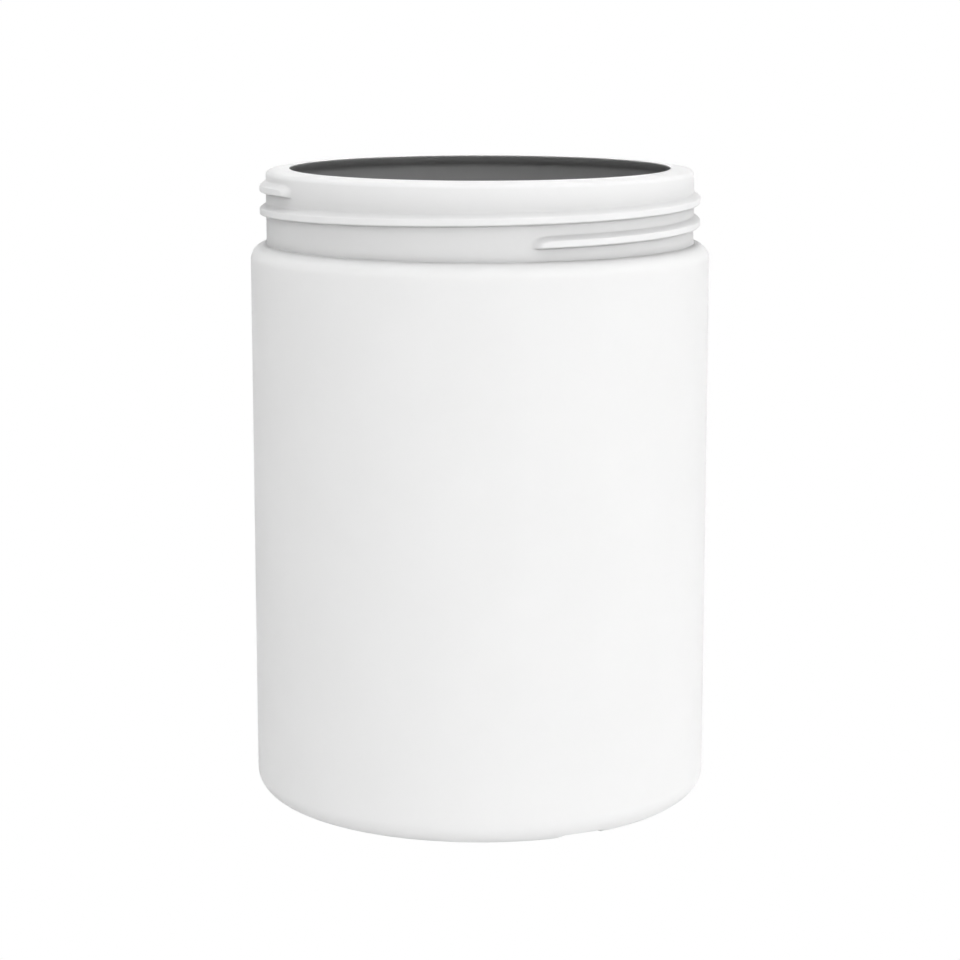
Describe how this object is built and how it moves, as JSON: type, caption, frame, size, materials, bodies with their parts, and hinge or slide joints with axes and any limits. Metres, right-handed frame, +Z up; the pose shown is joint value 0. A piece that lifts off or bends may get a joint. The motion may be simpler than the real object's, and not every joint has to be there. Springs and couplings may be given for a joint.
{
  "type": "wide-mouth plastic drum",
  "caption": "Open wide-mouth plastic drum: white straight-sided cylinder with rounded shoulder and heel, screw neck for a lid, flat sealing rim and a dark lined inside.",
  "frame": {"origin": "centre of the base, level with the standing ring that the drum rests on", "axes": "+Z up along the drum's axis; -Y is the front, where the neck thread starts just to the right of it; +X is the right-hand side"},
  "size_m": [0.104, 0.104, 0.1438],
  "materials": {
    "white_plastic": "fine matte natural-white moulded polyethylene, faint satin sheen",
    "dark_lining": "matte dark grey moulded polyethylene, seen only inside the mouth"
  },
  "bodies": {
    "root": {"outer_shell": "white_plastic", "inner_layer": "dark_lining"}
  },
  "joints": []
}
